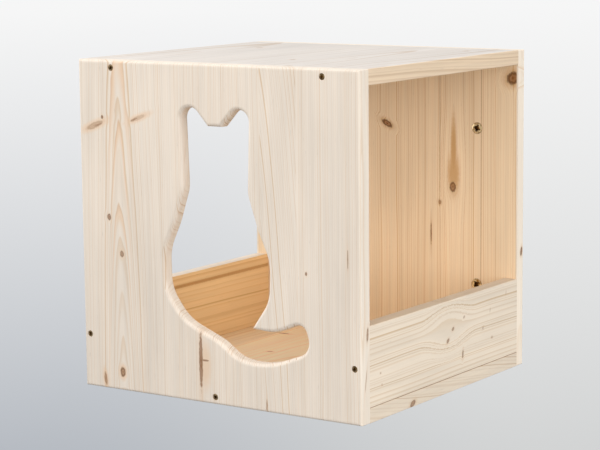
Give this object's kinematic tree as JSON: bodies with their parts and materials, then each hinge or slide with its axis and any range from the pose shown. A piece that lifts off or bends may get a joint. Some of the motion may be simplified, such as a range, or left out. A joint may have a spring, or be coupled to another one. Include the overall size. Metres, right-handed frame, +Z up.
{
  "type": "wall-mounted cat cube",
  "caption": "Wall-hung cat cube in edge-glued spruce: a cat-shaped door in the front, a roof, a floor, low side rails and open sides above them.",
  "frame": {"origin": "middle of the back panel's wall face", "axes": "+X to the right as seen from the front, +Y into the wall, +Z up"},
  "size_m": [0.4, 0.428, 0.4],
  "materials": {
    "front_spruce": "sanded, upright grain, bare or clear-oiled",
    "back_spruce": "sanded, upright grain, bare or clear-oiled",
    "board_spruce": "sanded, grain front to back",
    "bronzed_steel": "bronzed countersunk wood screws",
    "yellow_zinc": "yellow-zinc countersunk wall screws"
  },
  "bodies": {
    "root": {"front_panel": "front_spruce", "back_panel": "back_spruce", "roof_panel": "board_spruce", "floor_panel": "board_spruce", "left_rail": "board_spruce", "right_rail": "board_spruce", "front_screws": "bronzed_steel", "back_screws": "bronzed_steel", "rail_screws": "bronzed_steel", "wall_screws": "yellow_zinc"}
  },
  "joints": []
}
